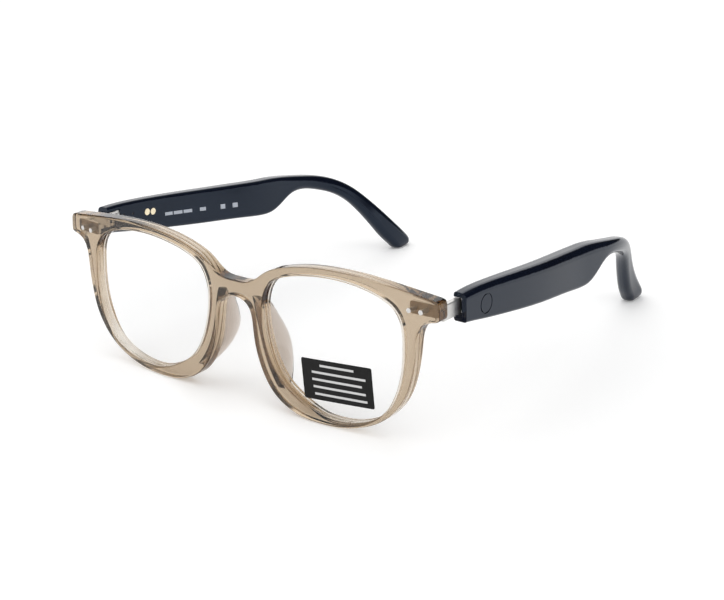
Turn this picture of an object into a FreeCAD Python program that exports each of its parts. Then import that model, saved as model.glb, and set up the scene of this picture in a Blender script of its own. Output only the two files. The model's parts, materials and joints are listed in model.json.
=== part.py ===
import FreeCAD, Part
import math
import os

os.makedirs("parts", exist_ok=True)
V = FreeCAD.Vector

# Smart glasses standing on a table, temples open. Millimetres.
# +X is the wearer's left, -Y is the front, +Z is up, z = 0 is the table.
# Depths (y) are drawn from the endpieces' front corners; the last step moves
# everything so that the origin is the middle of the footprint.
origin_depth = 69.18

# ---- front frame -----------------------------------------------------------
frame_thickness = 4.5
wrap_radius = 813.0          # plan radius of the front face
front_lean = 1.73            # degrees, top of the front leans back
bridge_front_depth = -4.35   # front face at the middle, at table height
edge_round = 0.7
lens_thickness = 1.8
lens_set_back = 1.4          # lens front face behind the frame's front face
groove_depth = 0.9
label_thickness = 0.08

# ---- hinge -----------------------------------------------------------------
pivot_x = 69.0
pivot_y = 14.5
link_low = 36.9
link_high = 41.5
link_thickness = 2.0
link_end_y = 12.5
link_plate_thickness = 0.9
knuckle_radius = 1.3
knuckle_low = 37.85
knuckle_high = 40.55
pin_radius = 0.6
pin_play = 0.04
ear_play = 0.05
rivet_radius = 0.72
rivet_spots = [(62.25, 40.3), (66.1, 40.4)]
housing_front = 17.0
housing_back = 26.7
housing_width = 2.3
housing_low = 37.7
housing_high = 40.7
rod_radius = 0.4
spring_wire = 0.13
spring_mean_radius = 0.64

# ---- temple ----------------------------------------------------------------
toe_in = 5.1                 # degrees, temple axis turns inwards
droop = 7.4                  # degrees, temple axis falls rearwards
cover_thickness = 1.0
wall_thickness = 1.2
button_y = 22.0
button_z = 37.6
button_radius = 2.6
button_play = 0.08
button_travel = 0.3
contact_spots = [(28.1, 38.2), (30.55, 37.8)]
contact_radius = 1.1
contact_proud = 0.12
dot_spots = [(18.6, 39.4), (22.2, 39.0)]
wire_radius = 0.6


# ---- helpers ---------------------------------------------------------------
def mirrored(points):
    """Points from x = 0 outwards become a full left-right symmetric row."""
    left = [(-x, z) for x, z in reversed(points) if x > 0.001]
    return left + points


def curve_xz(points, closed=False):
    curve = Part.BSplineCurve()
    curve.interpolate([V(x, 0, z) for x, z in points], closed)
    return curve.toShape()


def prism_y(wire, y0=-20.0, y1=30.0):
    """Solid between two depths with the outline drawn in the XZ plane."""
    face = Part.Face(wire.translated(V(0, y0, 0)))
    return face.extrude(V(0, y1 - y0, 0))


def polygon(points):
    vectors = [V(*p) for p in points]
    return Part.makePolygon(vectors + [vectors[0]])


def rounded_polygon_face(points, radius):
    face = Part.Face(polygon(points))
    wire = face.OuterWire.makeOffset2D(-radius, 2, False, False)
    wire = wire.makeOffset2D(radius, 0, False, False)
    return Part.Face(wire)


def front_slab(near, far, half_width=76.0):
    """Everything between two depths behind the curved, leaning front face."""
    centre_y = bridge_front_depth + wrap_radius
    angle = math.asin(half_width / wrap_radius)

    def arc_point(depth, t):
        r = wrap_radius - depth
        return V(r * math.sin(t * angle), centre_y - r * math.cos(t * angle), -6)

    near_arc = Part.Arc(arc_point(near, -1), arc_point(near, 0), arc_point(near, 1)).toShape()
    far_arc = Part.Arc(arc_point(far, 1), arc_point(far, 0), arc_point(far, -1)).toShape()
    side_a = Part.makeLine(arc_point(near, 1), arc_point(far, 1))
    side_b = Part.makeLine(arc_point(far, -1), arc_point(near, -1))
    face = Part.Face(Part.Wire([near_arc, side_a, far_arc, side_b]))
    slab = face.extrude(V(0, 0, 62))
    slab.rotate(V(0, bridge_front_depth, 0), V(1, 0, 0), -front_lean)
    return slab


def other_side(shape):
    return shape.mirror(V(0, 0, 0), V(1, 0, 0))


def one_solid(shape):
    """The largest solid of a cut or common."""
    return max(shape.Solids, key=lambda s: s.Volume)


def cylinder_x(x0, x1, y, z, radius):
    return Part.makeCylinder(radius, x1 - x0, V(x0, y, z), V(1, 0, 0))


def cylinder_z(x, y, z0, z1, radius):
    return Part.makeCylinder(radius, z1 - z0, V(x, y, z0), V(0, 0, 1))


def block(x0, x1, y0, y1, z0, z1):
    return Part.makeBox(x1 - x0, y1 - y0, z1 - z0, V(x0, y0, z0))


def joined(shapes):
    result = shapes[0]
    for shape in shapes[1:]:
        result = result.fuse(shape)
    return result.removeSplitter()


# ---- front frame, lenses, label, nose pads -----------------------------------
top_half = [(0, 37.2), (5.3, 37.5), (8.6, 39.3), (12, 41.8), (17, 43.9), (24, 45.6),
            (34, 46.7), (44, 46.8), (55, 46.0), (64, 45.0), (71.6, 44.1)]
under_half = [(0, 32.1), (3.3, 31.6), (5.6, 29.8), (6.7, 26.5), (7.2, 22.0), (8.1, 17.4),
              (9.6, 13.1), (11.8, 8.9), (15.1, 5.0), (19.2, 2.4), (24.7, 0.6), (31.5, 0.0),
              (38, 0.3), (45, 1.8), (51.9, 4.8), (57.6, 9.6), (61.3, 15.6), (63.3, 22.8),
              (64.2, 29.5), (64.9, 34.0), (66.6, 36.7), (69.2, 37.8), (71.8, 38.2)]
opening = [(18.3, 41.3), (25.6, 43.1), (36, 44.1), (46, 43.4), (52.6, 41.7), (56.6, 39.6),
           (58.9, 36.4), (59.9, 30.5), (59.4, 21), (57.1, 13.5), (53.1, 7.6), (47, 4.1),
           (39, 2.4), (32, 2.7), (25, 5.3), (18.7, 9.3), (14.6, 14.6), (12.1, 21),
           (10.8, 28), (11.4, 34.8), (13.8, 38.8)]
label_corners = [(24.1, 18.5), (48.9, 20.3), (50.1, 8.3), (25.4, 6.4)]

# nose pad sections: height, middle x, how far it reaches behind the rim
pad_sections = [(32.6, 6.6, 0.9), (30, 7.4, 2.8), (26, 8.2, 5.0), (22, 9.0, 7.0), (18, 10.0, 8.2),
                (14.5, 11.2, 7.8), (11, 12.9, 6.0), (8.2, 14.7, 3.4), (6.6, 16.0, 1.0)]


def front_outline():
    top = curve_xz(mirrored(top_half))
    under = curve_xz(mirrored(under_half))
    end_x = top_half[-1][0]
    low_x = under_half[-1][0]
    right = Part.makeLine(V(end_x, 0, top_half[-1][1]), V(low_x, 0, under_half[-1][1]))
    left = Part.makeLine(V(-low_x, 0, under_half[-1][1]), V(-end_x, 0, top_half[-1][1]))
    return Part.Wire(Part.__sortEdges__([top, right, under, left]))


def front_edges(shape):
    """Edges that run along the front and rear faces, not across the thickness."""
    picked = []
    for edge in shape.Edges:
        faces = shape.ancestorsOfType(edge, Part.Face)
        kinds = [f.Surface.TypeId for f in faces]
        if kinds.count("Part::GeomCylinder") == 1 and edge.Length > 3.0:
            picked.append(edge)
    return picked


def grown(points, distance):
    """A closed outline moved outwards by a distance, as points."""
    curve = curve_xz(points, True).Curve
    moved = []
    for x, z in points:
        along = curve.tangent(curve.parameter(V(x, 0, z)))[0]
        moved.append((x - along.z * distance, z + along.x * distance))
    return moved


opening_wire = Part.Wire(curve_xz(opening, True))
lens_wire = Part.Wire(curve_xz(grown(opening, groove_depth), True))

frame = prism_y(front_outline()).common(front_slab(0, frame_thickness))
for wire in (opening_wire, opening_wire.mirror(V(0, 0, 0), V(1, 0, 0))):
    frame = frame.cut(prism_y(wire))
frame = one_solid(frame)
frame = frame.makeFillet(edge_round, front_edges(frame))
lens_space = prism_y(lens_wire).common(front_slab(lens_set_back, lens_set_back + lens_thickness))
lens_left = one_solid(lens_space)
lens_right = other_side(lens_left)
frame = frame.cut(lens_left).cut(lens_right)

label_face = rounded_polygon_face([(x, -20, z) for x, z in label_corners], 0.6)
label = label_face.extrude(V(0, 50, 0))
label = one_solid(label.common(front_slab(lens_set_back - label_thickness, lens_set_back)))


def nose_pad():
    wires = []
    for height, middle, reach in pad_sections:
        half_depth = (reach + 2.4) / 2
        rear = 0.55 + 0.03 * height + reach
        centre = V(middle, rear - half_depth, height)
        ellipse = Part.Ellipse(centre + V(0, half_depth, 0), centre + V(1.55, 0, 0), centre)
        wires.append(Part.Wire(ellipse.toShape()))
    return Part.makeLoft(wires, True, False)


pad_left = one_solid(nose_pad().cut(frame).cut(lens_left).common(block(0, 40, -3, 30, 0, 45)))
pad_left = one_solid(pad_left.cut(front_slab(-3, 2.0)))
rivets = []
for x, z in rivet_spots:
    rod = Part.makeCylinder(rivet_radius, 40, V(x, -20, z), V(0, 1, 0))
    rivets.append(one_solid(rod.common(front_slab(-0.08, frame_thickness + link_plate_thickness + 0.15))))
for rivet in rivets:
    frame = frame.cut(rivet).cut(other_side(rivet))
frame = one_solid(frame)
rivet_group = Part.makeCompound(rivets)

# ---- hinge link ----------------------------------------------------------------
plate_face = rounded_polygon_face(
    [(60.6, -20, 38.5), (70.0, -20, 38.5), (70.0, -20, 42.2), (60.6, -20, 42.2)], 0.8)
plate = plate_face.extrude(V(0, 50, 0))
plate = one_solid(plate.common(front_slab(frame_thickness, frame_thickness + link_plate_thickness)))
half_link = link_thickness / 2
arm_low = block(pivot_x - half_link, pivot_x + half_link, 5.0, link_end_y, link_low, link_high)
arm_low = arm_low.makeFillet(0.35, [e for e in arm_low.Edges if abs(e.tangentAt(0).y) > 0.9])
neck = block(pivot_x - half_link, pivot_x + half_link, link_end_y - 1, pivot_y, knuckle_low, knuckle_high)
knuckle = cylinder_z(pivot_x, pivot_y, knuckle_low, knuckle_high, knuckle_radius)
link_root = block(pivot_x - half_link, pivot_x + half_link, -2, 6, 38.5, link_high)
link_root = link_root.common(front_slab(frame_thickness, 20))
link = joined([plate, link_root, arm_low, neck, knuckle])
link = link.cut(cylinder_z(pivot_x, pivot_y, 30, 50, pin_radius + pin_play))
link = link.cut(rivets[0]).cut(rivets[1]).cut(frame)
link = one_solid(link)

# ---- temple body ---------------------------------------------------------------
# stations: bottom (y, z), top (y, z), thickness, roundness of the corners
stations = [
    ((12.0, 34.85), (12.0, 43.3), 4.3, 0.15),
    ((20.0, 33.45), (20.0, 43.2), 4.6, 0.15),
    ((28.0, 32.05), (28.0, 42.6), 4.85, 0.15),
    ((36.0, 30.75), (36.0, 41.8), 5.15, 0.15),
    ((55.0, 28.0), (55.0, 39.7), 5.8, 0.15),
    ((70.0, 26.1), (70.0, 38.15), 6.15, 0.15),
    ((78.5, 25.0), (78.5, 37.35), 6.2, 0.15),
    ((82.8, 25.1), (83.4, 36.95), 6.2, 0.17),
    ((87.2, 26.6), (88.3, 36.3), 6.1, 0.22),
    ((92.2, 28.85), (93.4, 35.4), 6.0, 0.30),
    ((98.1, 29.5), (99.4, 34.2), 5.7, 0.38),
    ((105.0, 27.95), (107.0, 32.5), 5.3, 0.42),
    ((111.3, 25.6), (114.3, 29.7), 5.0, 0.42),
    ((116.7, 22.1), (120.3, 25.8), 4.8, 0.42),
    ((121.2, 17.15), (125.5, 20.85), 4.8, 0.42),
    ((125.8, 10.9), (130.6, 15.4), 4.9, 0.42),
    ((130.2, 4.9), (136.3, 9.3), 5.0, 0.42),
    ((132.9, 2.0), (140.5, 4.9), 5.0, 0.42),
    ((134.5, 0.5), (142.4, 1.9), 4.4, 0.42),
    ((136.1, 0.0), (141.0, 0.3), 2.8, 0.42),
]
bow_points = [(70.8, 4), (70.15, 12), (68.8, 36), (67.05, 58), (64.75, 79), (62.4, 104),
              (58.3, 116.5), (53.6, 126), (49.9, 136.5), (49.3, 146)]
bow_curve = Part.BSplineCurve()
bow_curve.interpolate([V(x, y, 0) for x, y in bow_points])


def bow_x(y):
    """Middle of the temple's thickness at a depth."""
    low, high = bow_curve.FirstParameter, bow_curve.LastParameter
    for _ in range(40):
        middle = (low + high) / 2
        if bow_curve.value(middle).y < y:
            low = middle
        else:
            high = middle
    return bow_curve.value((low + high) / 2).x


def thickness_at(y):
    rows = [((b[0] + t[0]) / 2, thick) for b, t, thick, _ in stations]
    for (y0, t0), (y1, t1) in zip(rows, rows[1:]):
        if y <= y1:
            share = max(0.0, (y - y0) / (y1 - y0))
            return t0 + share * (t1 - t0)
    return rows[-1][1]


def section(bottom, top, thick, roundness):
    """Rounded rectangle standing on the bottom point, reaching the top point."""
    by, bz = bottom
    ty, tz = top
    height = math.hypot(ty - by, tz - bz)
    up = V(0, (ty - by) / height, (tz - bz) / height)
    out = V(1, 0, 0)
    foot = V(bow_x((by + ty) / 2), by, bz)
    limit = min(thick, height) * 0.46
    body = max(0.0, (0.42 - roundness) / 0.27)
    round_size = min(limit, 0.42 * min(thick, height))
    top_out = body * 0.44 * thick + (1 - body) * round_size
    top_in = body * 0.20 * thick + (1 - body) * round_size
    low = body * 0.17 * thick + (1 - body) * round_size
    half = thick / 2
    corners = [(half, 0, low, -90), (half, height, top_out, 0),
               (-half, height, top_in, 90), (-half, 0, low, 180)]
    edges = []
    ends = []
    for a, b, r, start in corners:
        ca = a - math.copysign(r, a)
        cb = b + r if b == 0 else b - r
        pts = []
        for step in (0, 45, 90):
            angle = math.radians(start + step)
            pts.append(foot + out * (ca + r * math.cos(angle)) + up * (cb + r * math.sin(angle)))
        ends.append(pts)
    for index in range(4):
        pts = ends[index]
        following = ends[(index + 1) % 4]
        edges.append(Part.Arc(pts[0], pts[1], pts[2]).toShape())
        edges.append(Part.makeLine(pts[2], following[0]))
    return Part.Wire(edges)


def band(inner_offset, outer_offset, y0, y1, z0=15.0, z1=50.0):
    """Solid between two copies of the temple's bowed faces. Offsets are measured
    from the inner face, outwards, when positive; 'outer' offsets run from the
    outer face, inwards."""
    steps = 9
    depths = [y0 + (y1 - y0) * i / (steps - 1) for i in range(steps)]
    inner = [V(bow_x(y) - thickness_at(y) / 2 + inner_offset, y, z0) for y in depths]
    if outer_offset >= 100:
        outer = [V(bow_x(y) + thickness_at(y) / 2 - (outer_offset - 100), y, z0) for y in depths]
    else:
        outer = [V(bow_x(y) - thickness_at(y) / 2 + outer_offset, y, z0) for y in depths]
    a = Part.BSplineCurve()
    a.interpolate(inner)
    b = Part.BSplineCurve()
    b.interpolate(outer)
    wire = Part.Wire([a.toShape(), Part.makeLine(inner[-1], outer[-1]),
                      b.toShape(), Part.makeLine(outer[0], inner[0])])
    return Part.Face(Part.Wire(Part.__sortEdges__(wire.Edges))).extrude(V(0, 0, z1 - z0))


from_outer = 100.0
temple = Part.makeLoft([section(*s) for s in stations], True, False)
temple_blank = temple.copy()


def prism_x(points, radius):
    face = rounded_polygon_face([(40, y, z) for y, z in points], radius)
    return face.extrude(V(50, 0, 0))


# inner cover and the space behind it
cover_outline = [(33.0, 33.3), (78.5, 26.9), (84.0, 27.8), (84.5, 35.2), (33.0, 41.1)]
space_outline = [(34.2, 34.4), (78.3, 28.2), (82.8, 29.0), (83.2, 34.4), (34.2, 39.9)]
cover_region = prism_x(cover_outline, 1.2).common(band(-2.0, cover_thickness, 31, 88))
cover = one_solid(temple_blank.common(cover_region))
space = prism_x(space_outline, 0.9)
space = space.common(band(cover_thickness, from_outer + wall_thickness, 31, 88))
temple = temple.cut(cover_region).cut(space)

# notch for the link, open to the front and to the inner side
notch = block(60, 70.7, 8, housing_front, link_low - 0.3, link_high + 0.3)
temple = temple.cut(notch)

# hinge housing: a tube with a front wall, closed by the temple behind it
housing_x0 = pivot_x - housing_width / 2
housing_x1 = pivot_x + housing_width / 2
housing_blank = block(housing_x0, housing_x1, housing_front, housing_back, housing_low, housing_high)
housing_space = block(housing_x0 + 0.3, housing_x1 - 0.3, housing_front + 0.5, housing_back - 0.5,
                      housing_low + 0.45, housing_high - 0.45)
rod_z = (housing_low + housing_high) / 2
rod_hole = Part.makeCylinder(rod_radius + 0.04, 3, V(pivot_x, housing_front - 1, rod_z), V(0, 1, 0))
housing = housing_blank.cut(housing_space).cut(rod_hole)
temple = temple.cut(housing_blank)

# slider: two ears round the knuckle, a block, a rod with a head
ear_low = link_low + 0.05
ear_high = link_high - 0.05
ears = []
for z0, z1 in ((ear_low, knuckle_low - ear_play), (knuckle_high + ear_play, ear_high)):
    ears.append(cylinder_z(pivot_x, pivot_y, z0, z1, knuckle_radius))
    ears.append(block(pivot_x - 1.05, pivot_x + 1.05, pivot_y, housing_front - 0.3, z0, z1))
slider_block = block(pivot_x - 1.05, pivot_x + 1.05, housing_front - 0.8, housing_front - 0.02,
                     ear_low, ear_high)
rod = Part.makeCylinder(rod_radius, 8.6, V(pivot_x, housing_front - 0.5, rod_z), V(0, 1, 0))
rod_head = Part.makeCylinder(0.75, 0.8, V(pivot_x, housing_front + 7.9, rod_z), V(0, 1, 0))
slider = joined(ears + [slider_block, rod, rod_head])
pin = cylinder_z(pivot_x, pivot_y, ear_low, ear_high, pin_radius)
slider = one_solid(slider.cut(pin))

spring_turns = 9
spring_start = housing_front + 0.5 + spring_wire
spring_length = 7.4 - 2 * spring_wire
helix = Part.makeHelix(spring_length / spring_turns, spring_length, spring_mean_radius)
profile = Part.Wire(Part.Circle(V(spring_mean_radius, 0, 0), V(0, 1, 0), spring_wire).toShape())
spring = Part.Wire(helix.Edges).makePipeShell([profile], True, True)
spring.rotate(V(0, 0, 0), V(1, 0, 0), -90)
spring.translate(V(pivot_x, spring_start, rod_z))

# two short locating pins through the temple's inner skin
dots = []
for y, z in dot_spots:
    post = cylinder_x(60, housing_x0, y, z, 0.42)
    inner_skin = band(0.0, 8.0, 14, 30)
    dots.append(one_solid(post.common(inner_skin)))
for dot in dots:
    temple = temple.cut(dot)
for y, z in dot_spots:
    temple = temple.cut(cylinder_x(60, bow_x(y) - thickness_at(y) / 2 + 0.1, y, z, 0.42))
dots = [one_solid(d.cut(cylinder_x(60, bow_x(y) - thickness_at(y) / 2 + 0.1, y, z, 0.5)))
        for d, (y, z) in zip(dots, dot_spots)]

# ---- button ---------------------------------------------------------------------
switch_top = housing_x1 + 0.4
plunger_end = switch_top + button_travel + 0.05
flange_low = plunger_end + 0.1
flange_high = flange_low + 0.3
temple = temple.cut(cylinder_x(housing_x1, flange_high + 0.05, button_y, button_z, 3.0))
temple = temple.cut(cylinder_x(60, 80, button_y, button_z, button_radius + button_play)
                    .common(block(flange_high, 80, 0, 60, 0, 60)))
cap = cylinder_x(flange_low, 80, button_y, button_z, button_radius)
cap = cap.fuse(cylinder_x(flange_low, flange_high, button_y, button_z, 2.6 + 0.3))
cap = cap.fuse(cylinder_x(plunger_end, flange_low + 0.1, button_y, button_z, 0.6))
button = one_solid(cap.common(temple_blank).removeSplitter())
switch = one_solid(cylinder_x(housing_x1, switch_top, button_y, button_z, 1.8)
                   .fuse(block(housing_x1, housing_x1 + 0.2, button_y, button_y + 2.6, 36.9, 38.3)))
button_face_x = bow_x(button_y) + thickness_at(button_y) / 2
ring = cylinder_x(button_face_x - 0.25, 80, button_y, button_z, button_radius + 0.36)
ring = ring.cut(cylinder_x(60, 80, button_y, button_z, button_radius - 0.02))
temple = temple.cut(ring)

# ---- contacts, flex strip ---------------------------------------------------------
channel = block(0, 90, housing_back, 35.0, 35.9, 39.2)
channel = channel.common(band(1.3, from_outer + 1.3, 26, 40))
temple = temple.cut(channel)
strip_channel = block(housing_x1, housing_x1 + 0.2, button_y, housing_back + 0.4, 36.9, 38.3)
temple = temple.cut(strip_channel)
contacts = []
strip_x = pivot_x + 0.1
for y, z in contact_spots:
    face_x = bow_x(y) - thickness_at(y) / 2 - contact_proud
    pad = cylinder_x(face_x, face_x + 1.9, y, z, contact_radius)
    tail = cylinder_x(face_x + 1.6, strip_x, y, z, 0.5)
    contacts.append(pad.fuse(tail).removeSplitter())
contact_depth = bow_x(28.1) - thickness_at(28.1) / 2 - contact_proud
contact_group = Part.makeCompound(contacts)
for contact in contacts:
    temple = temple.cut(contact)
strip = block(housing_x1, housing_x1 + 0.2, button_y + 2.6, housing_back + 0.25, 36.9, 38.3)
strip_bend = block(strip_x, housing_x1 + 0.2, housing_back + 0.05, housing_back + 0.25, 36.9, 38.3)
strip_rear = block(strip_x, strip_x + 0.2, housing_back + 0.05, 31.4, 36.9, 38.3)
flex = one_solid(strip.fuse(strip_bend).fuse(strip_rear).cut(housing_blank).removeSplitter())


# ---- parts inside the temple --------------------------------------------------------
def inner_box(length, thick, height, y, z, shift=0.0):
    """Flat part lying along the temple, in its middle plane plus a shift."""
    box = Part.makeBox(thick, length, height, V(-thick / 2, -length / 2, -height / 2))
    box.rotate(V(0, 0, 0), V(1, 0, 0), -droop)
    box.rotate(V(0, 0, 0), V(0, 0, 1), toe_in)
    box.translate(V(bow_x(y) + shift, y, z))
    return box


board = inner_box(17.0, 0.8, 6.0, 43.5, 36.0, 1.0)
chip_rows = [(37.5, 4.0, 3.6), (43.0, 3.0, 3.0), (48.5, 3.4, 2.4)]
chips = []
for y, length, height in chip_rows:
    z = 36.0 - (y - 43.5) * math.tan(math.radians(droop))
    chips.append(one_solid(inner_box(length, 0.8, height, y, z, 0.2).cut(board)))
battery = inner_box(18.0, 3.2, 6.4, 62.0, 33.7, -0.05)
battery = battery.makeFillet(0.6, [e for e in battery.Edges if e.Length > 10])
speaker = inner_box(7.0, 3.0, 5.6, 77.6, 31.7, 0.0)
microphone = one_solid(inner_box(2.6, 1.0, 1.8, 36.6, 36.9, -1.0).cut(board))
inner_parts = [board, battery, speaker, microphone] + chips
board, battery, speaker, microphone = [one_solid(p.cut(temple)) for p in inner_parts[:4]]
chips = [one_solid(c.cut(temple)) for c in chips]
chip_group = Part.makeCompound(chips)

# sound slots under the speaker
for step in range(3):
    y = 75.4 + 2.2 * step
    slot = block(bow_x(y) - 1.3, bow_x(y) + 1.3, y - 0.45, y + 0.45, 20, 29.6)
    temple = temple.cut(slot)

# ---- core wire in the ear arm ---------------------------------------------------------
wire_path = []
for bottom, top, _, _ in stations[8:17]:
    y = (bottom[0] + top[0]) / 2
    z = (bottom[1] + top[1]) / 2
    wire_path.append(V(bow_x(y), y, z))
path_curve = Part.BSplineCurve()
path_curve.interpolate(wire_path)
start = path_curve.value(path_curve.FirstParameter)
direction = path_curve.tangent(path_curve.FirstParameter)[0]
wire_circle = Part.Wire(Part.Circle(start, direction, wire_radius).toShape())
core_wire = Part.Wire(path_curve.toShape()).makePipeShell([wire_circle], True, True)
temple = one_solid(temple.cut(core_wire))

# ---- write ------------------------------------------------------------------------------
front_parts = {
    "front_frame": frame,
    "lens_left": lens_left,
    "lens_right": lens_right,
    "lens_label": label,
    "nose_pad_left": pad_left,
    "nose_pad_right": other_side(pad_left),
}
paired_parts = {
    "hinge_link": link,
    "hinge_rivets": rivet_group,
    "hinge_pin": pin,
    "hinge_slider": slider,
    "hinge_housing": housing,
    "hinge_spring": spring,
    "housing_pins": Part.makeCompound(dots),
    "temple_shell": temple,
    "temple_cover": cover,
    "core_wire": core_wire,
    "main_board": board,
    "board_chips": chip_group,
    "battery": battery,
    "speaker": speaker,
    "microphone": microphone,
    "button_cap": button,
    "button_switch": switch,
    "charge_contacts": contact_group,
    "flex_strip": flex,
}


def write(name, shape):
    placed = shape.copy()
    placed.translate(V(0, -origin_depth, 0))
    placed.exportStep("parts/" + name + ".step")
    box = placed.BoundBox
    print(name, len(placed.Solids), placed.isValid(), round(placed.Volume, 2),
          [round(v, 2) for v in (box.XMin, box.YMin, box.ZMin, box.XMax, box.YMax, box.ZMax)])


for name, shape in front_parts.items():
    write(name, shape)
for name, shape in paired_parts.items():
    write(name + "_left", shape)
    write(name + "_right", other_side(shape))
print("contact face x", contact_depth, "depth shift", origin_depth)
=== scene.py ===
import json
import math

import bmesh
import bpy
import numpy as np
from mathutils import Matrix, Vector, geometry


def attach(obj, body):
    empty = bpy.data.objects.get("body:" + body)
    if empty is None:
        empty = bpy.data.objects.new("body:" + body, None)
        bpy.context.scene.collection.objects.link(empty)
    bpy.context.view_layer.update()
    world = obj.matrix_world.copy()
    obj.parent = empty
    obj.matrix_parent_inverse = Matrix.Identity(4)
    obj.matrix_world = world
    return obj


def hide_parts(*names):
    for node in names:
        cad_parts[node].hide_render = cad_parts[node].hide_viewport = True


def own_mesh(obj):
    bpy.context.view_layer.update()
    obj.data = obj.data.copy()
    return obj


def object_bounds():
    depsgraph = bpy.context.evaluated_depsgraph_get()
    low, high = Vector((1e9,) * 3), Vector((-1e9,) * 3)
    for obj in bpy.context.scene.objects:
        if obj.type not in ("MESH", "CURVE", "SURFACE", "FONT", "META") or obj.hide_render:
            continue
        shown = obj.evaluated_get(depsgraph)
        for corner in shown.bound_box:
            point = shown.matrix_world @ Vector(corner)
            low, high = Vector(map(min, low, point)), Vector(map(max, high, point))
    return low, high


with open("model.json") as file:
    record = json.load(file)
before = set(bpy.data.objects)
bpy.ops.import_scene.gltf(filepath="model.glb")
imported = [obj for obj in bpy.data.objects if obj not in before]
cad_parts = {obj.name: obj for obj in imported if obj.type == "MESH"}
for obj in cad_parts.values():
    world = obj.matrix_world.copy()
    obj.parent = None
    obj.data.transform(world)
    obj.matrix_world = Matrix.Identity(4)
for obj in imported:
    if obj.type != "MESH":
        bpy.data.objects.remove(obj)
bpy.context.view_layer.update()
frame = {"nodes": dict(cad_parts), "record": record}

scene = bpy.context.scene
nodes_by_name = frame["nodes"]

# The design measures in millimetres, as in the CAD: x, depth behind the endpieces'
# front corners, height. The row's origin lies at this design depth.
ORIGIN_DEPTH = 69.18


# ---- materials ---------------------------------------------------------------
def new_material(name):
    mat = bpy.data.materials.new(name)
    mat.use_nodes = True
    tree = mat.node_tree
    for node in list(tree.nodes):
        tree.nodes.remove(node)
    out = tree.nodes.new("ShaderNodeOutputMaterial")
    return mat, tree, out


def principled(tree, out, color, rough, metal=0.0, ior=1.5, transmission=0.0):
    shader = tree.nodes.new("ShaderNodeBsdfPrincipled")
    shader.inputs["Base Color"].default_value = (*color, 1)
    shader.inputs["Roughness"].default_value = rough
    shader.inputs["Metallic"].default_value = metal
    shader.inputs["IOR"].default_value = ior
    shader.inputs["Transmission Weight"].default_value = transmission
    tree.links.new(shader.outputs[0], out.inputs["Surface"])
    return shader


def noise(tree, scale, detail=3.0, rough=0.5):
    coords = tree.nodes.new("ShaderNodeTexCoord")
    tex = tree.nodes.new("ShaderNodeTexNoise")
    tex.inputs["Scale"].default_value = scale
    tex.inputs["Detail"].default_value = detail
    tex.inputs["Roughness"].default_value = rough
    tree.links.new(coords.outputs["Object"], tex.inputs["Vector"])
    return tex


def ramp(tree, source, stops):
    node = tree.nodes.new("ShaderNodeValToRGB")
    while len(node.color_ramp.elements) < len(stops):
        node.color_ramp.elements.new(0.5)
    for element, (place, color) in zip(node.color_ramp.elements, stops):
        element.position = place
        element.color = (*color, 1)
    tree.links.new(source, node.inputs["Fac"])
    return node


def span(tree, source, low, high):
    node = tree.nodes.new("ShaderNodeMapRange")
    node.inputs["To Min"].default_value = low
    node.inputs["To Max"].default_value = high
    tree.links.new(source, node.inputs["Value"])
    return node


def bump(tree, shader, height, strength, distance):
    node = tree.nodes.new("ShaderNodeBump")
    node.inputs["Strength"].default_value = strength
    node.inputs["Distance"].default_value = distance
    tree.links.new(height, node.inputs["Height"])
    tree.links.new(node.outputs[0], shader.inputs["Normal"])


def calculator(tree):
    """A short way to chain maths nodes."""
    def calc(kind, a, b=None):
        node = tree.nodes.new("ShaderNodeMath")
        node.operation = kind
        for index, value in enumerate((a, b)):
            if isinstance(value, (int, float)):
                node.inputs[index].default_value = value
            elif value is not None:
                tree.links.new(value, node.inputs[index])
        return node.outputs[0]
    return calc


def object_place(tree):
    """The point being shaded, as x, y and z outputs in the row frame."""
    coords = tree.nodes.new("ShaderNodeTexCoord")
    parts = tree.nodes.new("ShaderNodeSeparateXYZ")
    tree.links.new(coords.outputs["Object"], parts.inputs[0])
    return parts.outputs


def in_box(calc, across, up_, box):
    """1 inside a rectangle given as (across low, across high, up middle, half height)."""
    low, high, middle, half = box
    wide = calc("LESS_THAN", calc("ABSOLUTE", calc("SUBTRACT", across, (low + high) / 2)), (high - low) / 2)
    tall = calc("LESS_THAN", calc("ABSOLUTE", calc("SUBTRACT", up_, middle)), half)
    return calc("MULTIPLY", wide, tall)


def painted(tree, shader, below, mask, color):
    """Base colour that is the given one, with a paler print where the mask is 1."""
    mix = tree.nodes.new("ShaderNodeMix")
    mix.data_type = "RGBA"
    tree.links.new(mask, mix.inputs["Factor"])
    tree.links.new(below, mix.inputs["A"])
    mix.inputs["B"].default_value = (*color, 1)
    tree.links.new(mix.outputs["Result"], shader.inputs["Base Color"])


def frame_plastic():
    mat, tree, out = new_material("frame_plastic")
    shader = principled(tree, out, (0.98, 0.975, 0.965), 0.03, ior=1.49, transmission=1.0)
    tint = ramp(tree, noise(tree, 90.0).outputs[0],
                [(0.35, (0.965, 0.955, 0.94)), (0.65, (0.985, 0.98, 0.97))])
    tree.links.new(tint.outputs[0], shader.inputs["Base Color"])
    light_shadow(tree, out, shader, (0.93, 0.90, 0.86))
    inside = tree.nodes.new("ShaderNodeVolumeAbsorption")
    inside.inputs["Color"].default_value = (0.50, 0.315, 0.05, 1)
    inside.inputs["Density"].default_value = 250.0
    tree.links.new(inside.outputs[0], out.inputs["Volume"])
    return mat


def light_shadow(tree, out, shader, color):
    """Light passes straight through for shadows, only tinted."""
    path = tree.nodes.new("ShaderNodeLightPath")
    clear = tree.nodes.new("ShaderNodeBsdfTransparent")
    clear.inputs["Color"].default_value = (*color, 1)
    mix = tree.nodes.new("ShaderNodeMixShader")
    tree.links.new(path.outputs["Is Shadow Ray"], mix.inputs[0])
    tree.links.new(shader.outputs[0], mix.inputs[1])
    tree.links.new(clear.outputs[0], mix.inputs[2])
    tree.links.new(mix.outputs[0], out.inputs["Surface"])


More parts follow.
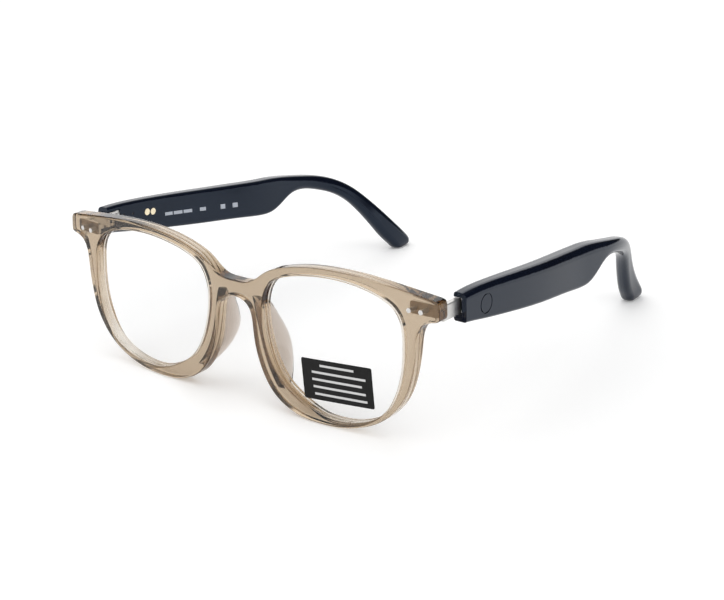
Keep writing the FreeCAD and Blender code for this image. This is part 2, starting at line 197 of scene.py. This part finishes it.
def pad_plastic():
    mat, tree, out = new_material("pad_plastic")
    shader = principled(tree, out, (0.95, 0.93, 0.90), 0.06, ior=1.49, transmission=1.0)
    tint = ramp(tree, noise(tree, 140.0).outputs[0], [(0.3, (0.92, 0.90, 0.87)), (0.7, (0.96, 0.945, 0.925))])
    tree.links.new(tint.outputs[0], shader.inputs["Base Color"])
    light_shadow(tree, out, shader, (0.93, 0.91, 0.88))
    inside = tree.nodes.new("ShaderNodeVolumeAbsorption")
    inside.inputs["Color"].default_value = (0.42, 0.28, 0.16, 1)
    inside.inputs["Density"].default_value = 300.0
    tree.links.new(inside.outputs[0], out.inputs["Volume"])
    return mat


def lens_plastic():
    mat, tree, out = new_material("lens_plastic")
    clear = tree.nodes.new("ShaderNodeBsdfTransparent")
    gloss = tree.nodes.new("ShaderNodeBsdfGlossy")
    gloss.inputs["Roughness"].default_value = 0.02
    gloss.inputs["Color"].default_value = (0.9, 0.9, 0.9, 1)
    fresnel = tree.nodes.new("ShaderNodeFresnel")
    fresnel.inputs["IOR"].default_value = 1.3
    tone = ramp(tree, noise(tree, 60.0).outputs[0],
                [(0.3, (0.988, 0.990, 0.991)), (0.7, (0.995, 0.996, 0.997))])
    tree.links.new(tone.outputs[0], clear.inputs["Color"])
    side = tree.nodes.new("ShaderNodeNewGeometry")
    front_only = tree.nodes.new("ShaderNodeMath")
    front_only.operation = "SUBTRACT"
    front_only.inputs[0].default_value = 1.0
    tree.links.new(side.outputs["Backfacing"], front_only.inputs[1])
    factor = tree.nodes.new("ShaderNodeMath")
    factor.operation = "MULTIPLY"
    tree.links.new(fresnel.outputs[0], factor.inputs[0])
    tree.links.new(front_only.outputs[0], factor.inputs[1])
    mix = tree.nodes.new("ShaderNodeMixShader")
    tree.links.new(factor.outputs[0], mix.inputs[0])
    tree.links.new(clear.outputs[0], mix.inputs[1])
    tree.links.new(gloss.outputs[0], mix.inputs[2])
    tree.links.new(mix.outputs[0], out.inputs["Surface"])
    return mat


def temple_print(tree):
    """Mask of plain bars along the inner face of the wearer's right temple."""
    calc = calculator(tree)
    x, y, z = object_place(tree)
    droop = 0.129                  # the bars fall by this much per length rearwards
    first_depth, first_height = 35.6, 35.6
    bars = [(35.6, 38.8, 0.55), (39.3, 43.0, 0.55), (43.5, 47.2, 0.55),
            (50.5, 53.1, 0.6), (59.4, 61.4, 0.8), (64.6, 66.8, 0.8)]
    rise = calc("ADD", z, calc("MULTIPLY", y, droop))
    level = (first_height + droop * (first_depth - ORIGIN_DEPTH)) / 1000
    mask = None
    for low, high, half in bars:
        low_y, high_y = (low - ORIGIN_DEPTH) / 1000, (high - ORIGIN_DEPTH) / 1000
        bar = in_box(calc, y, rise, (low_y, high_y, level, half / 1000))
        mask = bar if mask is None else calc("MAXIMUM", mask, bar)
    right_side = calc("LESS_THAN", x, 0.0)
    inner_face = calc("GREATER_THAN", x, -0.0668)
    return calc("MULTIPLY", mask, calc("MULTIPLY", right_side, inner_face))


def temple_plastic(name, printed):
    mat, tree, out = new_material(name)
    shader = principled(tree, out, (0.004, 0.006, 0.013), 0.07, ior=1.42)
    shader.inputs["Specular Tint"].default_value = (0.62, 0.78, 1.0, 1)
    tone = ramp(tree, noise(tree, 35.0).outputs[0],
                [(0.3, (0.0035, 0.005, 0.011)), (0.7, (0.005, 0.0075, 0.016))])
    tree.links.new(tone.outputs[0], shader.inputs["Base Color"])
    grain = noise(tree, 900.0, 4.0)
    tree.links.new(span(tree, grain.outputs[0], 0.07, 0.12).outputs[0], shader.inputs["Roughness"])
    bump(tree, shader, grain.outputs[0], 0.02, 0.0001)
    if printed:
        painted(tree, shader, tone.outputs[0], temple_print(tree), (0.42, 0.45, 0.50))
    return mat


def label_film():
    """Black film with five rows of plain light bars."""
    mat, tree, out = new_material("label_film")
    shader = principled(tree, out, (0.004, 0.004, 0.004), 0.5, ior=1.3)
    x, _, z = object_place(tree)
    calc = calculator(tree)
    slant = math.radians(4.1)      # the label's rows rise towards the temple
    top_row, row_pitch, half_row = 0.0150, 0.00215, 0.00034
    rows = [(0.0320, 0.0440), (0.0290, 0.0480), (0.0290, 0.0466), (0.0293, 0.0478), (0.0297, 0.0482)]
    along = calc("ADD", calc("MULTIPLY", x, math.cos(slant)), calc("MULTIPLY", z, math.sin(slant)))
    rise = calc("SUBTRACT", calc("MULTIPLY", z, math.cos(slant)), calc("MULTIPLY", x, math.sin(slant)))
    bars = None
    for index, (start, end) in enumerate(rows):
        bar = in_box(calc, along, rise, (start, end, top_row - row_pitch * index, half_row))
        bars = bar if bars is None else calc("MAXIMUM", bars, bar)
    mottled = ramp(tree, noise(tree, 600.0).outputs[0],
                   [(0.3, (0.002, 0.002, 0.002)), (0.7, (0.005, 0.005, 0.005))])
    painted(tree, shader, mottled.outputs[0], bars, (0.55, 0.55, 0.55))
    return mat


def metal(name, color, rough, grain_scale=700.0):
    mat, tree, out = new_material(name)
    shader = principled(tree, out, color, rough, metal=1.0)
    grain = noise(tree, grain_scale, 4.0)
    darker = tuple(c * 0.86 for c in color)
    tone = ramp(tree, grain.outputs[0], [(0.3, darker), (0.7, color)])
    tree.links.new(tone.outputs[0], shader.inputs["Base Color"])
    tree.links.new(span(tree, grain.outputs[0], rough * 0.75, rough * 1.35).outputs[0],
                   shader.inputs["Roughness"])
    bump(tree, shader, grain.outputs[0], 0.05, 0.0001)
    return mat


def plain(name, color, rough, variation=0.2, scale=300.0):
    mat, tree, out = new_material(name)
    shader = principled(tree, out, color, rough)
    soft = noise(tree, scale, 4.0)
    low = tuple(c * (1 - variation) for c in color)
    high = tuple(min(1.0, c * (1 + variation)) for c in color)
    tone = ramp(tree, soft.outputs[0], [(0.3, low), (0.7, high)])
    tree.links.new(tone.outputs[0], shader.inputs["Base Color"])
    bump(tree, shader, soft.outputs[0], 0.08, 0.0001)
    return mat


finishes = {
    "frame_plastic": frame_plastic(),
    "lens_plastic": lens_plastic(),
    "pad_plastic": pad_plastic(),
    "temple_plastic": temple_plastic("temple_plastic", True),
    "button_plastic": temple_plastic("button_plastic", False),
    "label_film": label_film(),
    "hinge_metal": metal("hinge_metal", (0.70, 0.69, 0.67), 0.33),
    "dark_metal": plain("dark_metal", (0.006, 0.006, 0.008), 0.4),
    "spring_wire": metal("spring_wire", (0.6, 0.6, 0.62), 0.3),
    "contact_gold": metal("contact_gold", (0.98, 0.86, 0.62), 0.25),
    "board_laminate": plain("board_laminate", (0.03, 0.16, 0.08), 0.4),
    "chip_resin": plain("chip_resin", (0.02, 0.02, 0.022), 0.5),
    "battery_foil": metal("battery_foil", (0.7, 0.7, 0.72), 0.35),
    "speaker_metal": metal("speaker_metal", (0.35, 0.35, 0.36), 0.4),
    "flex_film": plain("flex_film", (0.45, 0.2, 0.05), 0.35),
}
slot_of = {row["node"]: row["material_slot"] for row in frame["record"]["subparts"]}
for name, obj in nodes_by_name.items():
    mat = finishes[slot_of[name]]
    if not obj.material_slots:
        obj.data.materials.append(mat)
    for material_slot in obj.material_slots:
        material_slot.material = mat

# ---- front frame and lenses, in design millimetres ------------------------------
WRAP = 813.0                   # plan radius of the front face
BRIDGE_DEPTH = -4.35           # front face at the middle, at table height
LEAN = math.radians(1.73)      # the top of the front leans back
EDGE_ROUND = 0.7
FRONT_REAR = 4.46              # just clear of the hinge plates behind the front
LENS_NEAR, LENS_FAR = 1.4, 3.2
GROOVE_REACH, GROOVE_PLAY = 0.5, 0.04
OUTLINE_PITCH = 0.35
CORNER_SOFTENING = 0.95
top_half = [(0, 37.2), (5.3, 37.5), (8.6, 39.3), (12, 41.8), (17, 43.9), (24, 45.6),
            (34, 46.7), (44, 46.8), (55, 46.0), (64, 45.0), (71.6, 44.1)]
under_half = [(0, 32.1), (3.3, 31.6), (5.6, 29.8), (6.7, 26.5), (7.2, 22.0), (8.1, 17.4),
              (9.6, 13.1), (11.8, 8.9), (15.1, 5.0), (19.2, 2.4), (24.7, 0.6), (31.5, 0.0),
              (38, 0.3), (45, 1.8), (51.9, 4.8), (57.6, 9.6), (61.3, 15.6), (63.3, 22.8),
              (64.2, 29.5), (64.9, 34.0), (66.6, 36.7), (69.2, 37.8), (71.8, 38.2)]
opening = [(18.3, 41.3), (25.6, 43.1), (36, 44.1), (46, 43.4), (52.6, 41.7), (56.6, 39.6),
           (58.9, 36.4), (59.9, 30.5), (59.4, 21), (57.1, 13.5), (53.1, 7.6), (47, 4.1),
           (39, 2.4), (32, 2.7), (25, 5.3), (18.7, 9.3), (14.6, 14.6), (12.1, 21),
           (10.8, 28), (11.4, 34.8), (13.8, 38.8)]


def spline(points, closed, per_span=24):
    """Smooth curve through points, chord-length parameter, as a dense row of points."""
    pts = np.array(points + points[:1] if closed else points, float)
    t = np.concatenate([[0], np.cumsum(np.linalg.norm(np.diff(pts, axis=0), axis=1))])
    n = len(pts) - 1
    h = np.diff(t)
    size = n if closed else n + 1
    a = np.zeros((size, size))
    b = np.zeros((size, 2))
    for i in range(size):
        if not closed and i in (0, n):
            a[i, i] = 1.0
            continue
        before, after = h[i - 1], h[i % n]
        a[i, (i - 1) % size] += before
        a[i, i] += 2 * (before + after)
        a[i, (i + 1) % size] += after
        here, prev, nxt = pts[i], pts[i - 1] if i else pts[n - 1], pts[i + 1]
        b[i] = 6 * ((nxt - here) / after - (here - prev) / before)
    m = np.linalg.solve(a, b)
    if closed:
        m = np.vstack([m, m[:1]])
    row = []
    for i in range(n):
        for step in range(per_span):
            u = step / per_span
            x = h[i] * u
            row.append(pts[i] + (pts[i + 1] - pts[i]) * u
                       - (h[i] - x) * x * ((2 - u) * m[i] + (1 + u) * m[i + 1]) / 6)
    if not closed:
        row.append(pts[-1])
    return np.array(row)


def even(row, pitch, soften=0.0):
    """Closed row resampled at an even pitch; soften rounds its corners, in mm."""
    loop = np.vstack([row, row[:1]])
    t = np.concatenate([[0], np.cumsum(np.linalg.norm(np.diff(loop, axis=0), axis=1))])
    count = int(round(t[-1] / pitch))
    fine = np.linspace(0, t[-1], count, endpoint=False)
    out = np.stack([np.interp(fine, t, loop[:, k]) for k in (0, 1)], 1)
    if soften:
        side = int(4 * soften / pitch)
        weights = np.exp(-0.5 * (np.arange(-side, side + 1) * pitch / soften) ** 2)
        weights /= weights.sum()
        out = sum(w * np.roll(out, k - side, axis=0) for k, w in enumerate(weights))
    return out


def outward(row):
    """Unit normals of a closed row, pointing out of the area that it encloses."""
    along = np.roll(row, -1, 0) - np.roll(row, 1, 0)
    normal = np.stack([along[:, 1], -along[:, 0]], 1)
    normal /= np.linalg.norm(normal, axis=1)[:, None]
    area = np.sum(row[:, 0] * np.roll(row[:, 1], -1) - np.roll(row[:, 0], -1) * row[:, 1])
    return normal if area > 0 else -normal


def place(x, z, depth):
    """Design x, height and depth behind the front face, to the row frame in metres."""
    back_off = WRAP - math.sqrt((WRAP - depth) ** 2 - x * x)
    height = (z + back_off * math.sin(LEAN)) / math.cos(LEAN)
    y = BRIDGE_DEPTH + back_off * math.cos(LEAN) + height * math.sin(LEAN)
    return Vector((x, y - ORIGIN_DEPTH, z)) / 1000


def face_normal(x):
    """Direction straight out of the front face."""
    lean_x = x / WRAP
    return Vector((lean_x, -math.cos(LEAN), math.sin(LEAN))).normalized()


def rim_profile(near, far, rounding, sign, groove):
    """Steps across an edge, front to rear: shift outwards, depth, and the normal's
    parts across and ahead. None means the next step is the same line, turned."""
    steps = 6
    angles = [math.pi / 2 * k / steps for k in range(steps + 1)]
    profile = []
    for angle in angles:
        profile.append((-rounding * (1 - math.sin(angle)) * sign, near + rounding * (1 - math.cos(angle)),
                        math.sin(angle), math.cos(angle)))
    if groove:
        g0, g1, depth = groove
        profile += [(0.0, g0, 1.0, 0.0), None, (0.0, g0, 0.0, -1.0), (depth, g0, 0.0, -1.0), None,
                    (depth, g0, 1.0, 0.0), (depth, g1, 1.0, 0.0), None,
                    (depth, g1, 0.0, 1.0), (0.0, g1, 0.0, 1.0), None, (0.0, g1, 1.0, 0.0)]
    for angle in angles:
        profile.append((-rounding * (1 - math.cos(angle)) * sign, far - rounding * (1 - math.sin(angle)),
                        math.cos(angle), -math.sin(angle)))
    return profile


def within(x, z, outline):
    """Whether a point lies inside a closed row of points."""
    a, b = outline, np.roll(outline, -1, 0)
    crosses = (a[:, 1] > z) != (b[:, 1] > z)
    rise = np.where(b[:, 1] == a[:, 1], 1, b[:, 1] - a[:, 1])
    at = a[:, 0] + (z - a[:, 1]) / rise * (b[:, 0] - a[:, 0])
    return np.count_nonzero(crosses & (x < at)) % 2 == 1


def rim_rings(bm, normals, row, sign, profile):
    """Skins one edge of a slab and returns its first and last ring of vertices."""
    out_dir = outward(row)
    first = last = None
    turned = False
    for entry in profile:
        if entry is None:
            turned = True
            continue
        shift, depth, across, ahead = entry
        directions = []
        for (x, _), (nx, nz) in zip(row, out_dir * sign):
            directions.append((Vector((nx, 0, nz)) * across + face_normal(x) * ahead).normalized())
        if turned:
            verts = last[0]
            turned = False
        else:
            verts = [bm.verts.new(place(x + nx * shift, z + nz * shift, depth))
                     for (x, z), (nx, nz) in zip(row, out_dir)]
            if last:
                wall(bm, normals, last, (verts, directions))
            first = first or verts
        last = (verts, directions)
    return first, last[0]


def wall(bm, normals, before, after):
    """Quads between two rings, each given as vertices and their normals."""
    a, normal_a = before
    b, normal_b = after
    for i in range(len(a)):
        j = (i + 1) % len(a)
        quad = bm.faces.new((a[i], a[j], b[j], b[i]))
        normals[quad] = {a[i]: normal_a[i], a[j]: normal_a[j], b[j]: normal_b[j], b[i]: normal_b[i]}


def cover_faces(bm, normals, rims):
    """Front and rear faces between the outer rim and the holes."""
    coords, edges, fronts, rears = [], [], [], []
    for row, front_ring, rear_ring in rims:
        base = len(coords)
        coords += [Vector(p) for p in row]
        fronts += front_ring
        rears += rear_ring
        edges += [(base + i, base + (i + 1) % len(row)) for i in range(len(row))]
    _, _, triangles, source, _, _ = geometry.delaunay_2d_cdt(coords, edges, [], 0, 1e-6)
    outlines = [row for row, _, _ in rims]
    for tri in triangles:
        index = [source[k][0] for k in tri]
        x = sum(coords[k].x for k in index) / 3
        z = sum(coords[k].y for k in index) / 3
        if not within(x, z, outlines[0]) or any(within(x, z, o) for o in outlines[1:]):
            continue
        for group, sense in ((fronts, 1), (rears, -1)):
            order = index if sense > 0 else index[::-1]
            face = bm.faces.new([group[k] for k in order])
            normals[face] = {group[k]: face_normal(coords[k].x) * sense for k in order}


def slab_mesh(name, outer, holes, near, far, rounding, groove=None):
    """Closed body between two depths; its holes may carry a groove (depth, depth, reach)."""
    bm = bmesh.new()
    normals = {}
    rims = []
    for index, row in enumerate([outer] + holes):
        sign = 1 if index == 0 else -1
        profile = rim_profile(near, far, rounding, sign, groove if sign < 0 else None)
        first, last = rim_rings(bm, normals, row, sign, profile)
        rims.append((row + outward(row) * (-rounding * sign), first, last))
    cover_faces(bm, normals, rims)
    bm.normal_update()
    loops = []
    for face in bm.faces:
        given = sum((normals[face][v] for v in face.verts), Vector())
        if face.normal.dot(given) < 0:
            face.normal_flip()
        loops += [normals[face][loop.vert] for loop in face.loops]
    mesh = bpy.data.meshes.new(name)
    bm.to_mesh(mesh)
    bm.free()
    mesh.polygons.foreach_set("use_smooth", [True] * len(mesh.polygons))
    mesh.normals_split_custom_set(loops)
    obj = bpy.data.objects.new(name, mesh)
    scene.collection.objects.link(obj)
    return obj


def take_over(obj, node, body):
    """The piece is shown in place of a CAD node, moves with its body and has its finish."""
    obj.data.materials.append(finishes[slot_of[node]])
    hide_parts(node)
    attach(obj, body)


top_row = spline([(-x, z) for x, z in reversed(top_half[1:])] + top_half, False)
under_row = spline([(-x, z) for x, z in reversed(under_half[1:])] + under_half, False)
outline = even(np.vstack([top_row, under_row[::-1]]), OUTLINE_PITCH, CORNER_SOFTENING)
hole_left = even(spline(opening, True), OUTLINE_PITCH)
hole_right = hole_left[::-1] * np.array([-1, 1])
lens_groove = (LENS_NEAR - GROOVE_PLAY, LENS_FAR + GROOVE_PLAY, GROOVE_REACH)
front_body = slab_mesh("front_rims", outline, [hole_left, hole_right],
                       0.0, FRONT_REAR, EDGE_ROUND, lens_groove)
take_over(front_body, "front_frame", "front")
for side, hole in (("left", hole_left), ("right", hole_right)):
    edge = hole + outward(hole) * (GROOVE_REACH - GROOVE_PLAY)
    lens = slab_mesh("lens_body_" + side, edge, [], LENS_NEAR, LENS_FAR, 0.12)
    take_over(lens, "lens_" + side, "front")

# ---- hinge springs; the real ones shorten as the slider is drawn, these coils keep one length ---
PIVOT_X = 69.0
SPRING_START, SPRING_LENGTH, SPRING_TURNS = 17.66, 7.06, 9
SPRING_RADIUS, WIRE_RADIUS, SPRING_HEIGHT = 0.64, 0.13, 39.2


def coil_mesh(name, centre_x):
    """Closed round wire wound along +Y, built ring by ring."""
    bm = bmesh.new()
    rings = []
    count = SPRING_TURNS * 28
    for i in range(count + 1):
        turn_ = 2 * math.pi * SPRING_TURNS * i / count
        outwards = Vector((math.cos(turn_), 0, math.sin(turn_)))
        middle = Vector((centre_x, SPRING_START + SPRING_LENGTH * i / count - ORIGIN_DEPTH, SPRING_HEIGHT))
        ring = []
        for k in range(8):
            angle = 2 * math.pi * k / 8
            offset = outwards * (SPRING_RADIUS + WIRE_RADIUS * math.cos(angle))
            offset += Vector((0, WIRE_RADIUS * math.sin(angle), 0))
            ring.append(bm.verts.new((middle + offset) / 1000))
        rings.append(ring)
    for a, b in zip(rings, rings[1:]):
        for k in range(8):
            bm.faces.new((a[k], a[(k + 1) % 8], b[(k + 1) % 8], b[k]))
    bm.faces.new(rings[0])
    bm.faces.new(rings[-1][::-1])
    bmesh.ops.recalc_face_normals(bm, faces=bm.faces)
    mesh = bpy.data.meshes.new(name)
    bm.to_mesh(mesh)
    bm.free()
    mesh.polygons.foreach_set("use_smooth", [True] * len(mesh.polygons))
    obj = bpy.data.objects.new(name, mesh)
    scene.collection.objects.link(obj)
    return obj


for side, centre_x in (("left", PIVOT_X), ("right", -PIVOT_X)):
    coil = coil_mesh("spring_coil_" + side, centre_x)
    take_over(coil, "hinge_spring_" + side, "temple_" + side)
    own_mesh(coil)

# ---- camera, floor, light ------------------------------------------------------
azimuth, elevation, roll = math.radians(39.42), math.radians(19.9), math.radians(-1.45)
back = Vector((math.sin(azimuth) * math.cos(elevation), -math.cos(azimuth) * math.cos(elevation),
               math.sin(elevation)))
right = (-back).cross(Vector((0, 0, 1))).normalized()
up = right.cross(-back)
right_rolled = right * math.cos(roll) + up * math.sin(roll)
up_rolled = up * math.cos(roll) - right * math.sin(roll)
camera_data = bpy.data.cameras.new("camera")
camera_data.lens = 89.8
camera_data.sensor_width = 36.0
camera_data.clip_start = 0.01
camera_data.clip_end = 20.0
camera = bpy.data.objects.new("camera", camera_data)
turn = Matrix((right_rolled, up_rolled, back)).transposed().to_4x4()
camera.matrix_world = Matrix.Translation(Vector((0.3425, -0.4305, 0.2089))) @ turn
scene.collection.objects.link(camera)
scene.camera = camera

floor_mesh = bpy.data.meshes.new("floor")
reach = 6.0
floor_mesh.from_pydata([(-reach, -reach, 0), (reach, -reach, 0), (reach, reach, 0), (-reach, reach, 0)],
                       [], [(0, 1, 2, 3)])
floor = bpy.data.objects.new("floor", floor_mesh)
scene.collection.objects.link(floor)
floor_mat, floor_tree, floor_out = new_material("floor")
floor_shader = principled(floor_tree, floor_out, (1.0, 1.0, 1.0), 1.0)
floor_shader.inputs["Emission Color"].default_value = (1, 1, 1, 1)
floor_shader.inputs["Emission Strength"].default_value = 0.10
floor_mesh.materials.append(floor_mat)
floor.location.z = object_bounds()[0].z - 0.00002

world = bpy.data.worlds.new("studio")
world.use_nodes = True
scene.world = world
wt = world.node_tree
for node in list(wt.nodes):
    wt.nodes.remove(node)
w_out = wt.nodes.new("ShaderNodeOutputWorld")
w_bg = wt.nodes.new("ShaderNodeBackground")
w_bg.inputs["Strength"].default_value = 1.0
wt.links.new(w_bg.outputs[0], w_out.inputs["Surface"])
w_coord = wt.nodes.new("ShaderNodeTexCoord")


def smooth(value, low, high):
    node = wt.nodes.new("ShaderNodeMapRange")
    node.interpolation_type = "SMOOTHSTEP"
    node.inputs["From Min"].default_value = low
    node.inputs["From Max"].default_value = high
    wt.links.new(value, node.inputs["Value"])
    return node.outputs[0]


w_split = wt.nodes.new("ShaderNodeSeparateXYZ")
wt.links.new(w_coord.outputs["Generated"], w_split.inputs[0])
wx, wy, wz = w_split.outputs
w_calc = calculator(wt)
turn_angle = w_calc("ARCTAN2", wx, wy)       # 0 behind the object, positive to the wearer's left
rise = w_calc("ARCSINE", wz)
deg = math.radians
# a dark flag stands behind and to the wearer's left, above the horizon
flag_across = w_calc("MULTIPLY", smooth(turn_angle, deg(-20), deg(-10)), smooth(turn_angle, deg(75), deg(62)))
flag_up = w_calc("MULTIPLY", smooth(rise, deg(2), deg(5)), smooth(rise, deg(66), deg(56)))
flag = w_calc("MULTIPLY", flag_across, flag_up)
# a grey wall on the wearer's right, low down
wall_across = w_calc("MULTIPLY", smooth(turn_angle, deg(-135), deg(-120)),
                     smooth(turn_angle, deg(-50), deg(-65)))
side_wall = w_calc("MULTIPLY", wall_across, smooth(rise, deg(45), deg(30)))
OPEN_GLOW, FLAG_LOSS, WALL_LOSS = 1.24, 1.22, 0.95
glow = w_calc("SUBTRACT", OPEN_GLOW, w_calc("MULTIPLY", flag, FLAG_LOSS))
glow = w_calc("SUBTRACT", glow, w_calc("MULTIPLY", side_wall, WALL_LOSS))
wt.links.new(glow, w_bg.inputs["Strength"])
w_bg.inputs["Color"].default_value = (1.0, 1.0, 1.0, 1)


def area_light(name, place, target, size, power):
    data = bpy.data.lights.new(name, "AREA")
    data.shape = "RECTANGLE"
    data.size, data.size_y = size
    data.energy = power
    obj = bpy.data.objects.new(name, data)
    obj.location = place
    obj.rotation_euler = (Vector(target) - Vector(place)).to_track_quat("-Z", "Y").to_euler()
    scene.collection.objects.link(obj)
    return obj


area_light("overhead", (0.0, 0.2, 1.2), (0, 0, 0), (2.4, 2.4), 1.5)

scene.view_settings.view_transform = "Standard"

# ---- final view layer update --------------------------------------------------
bpy.context.view_layer.update()
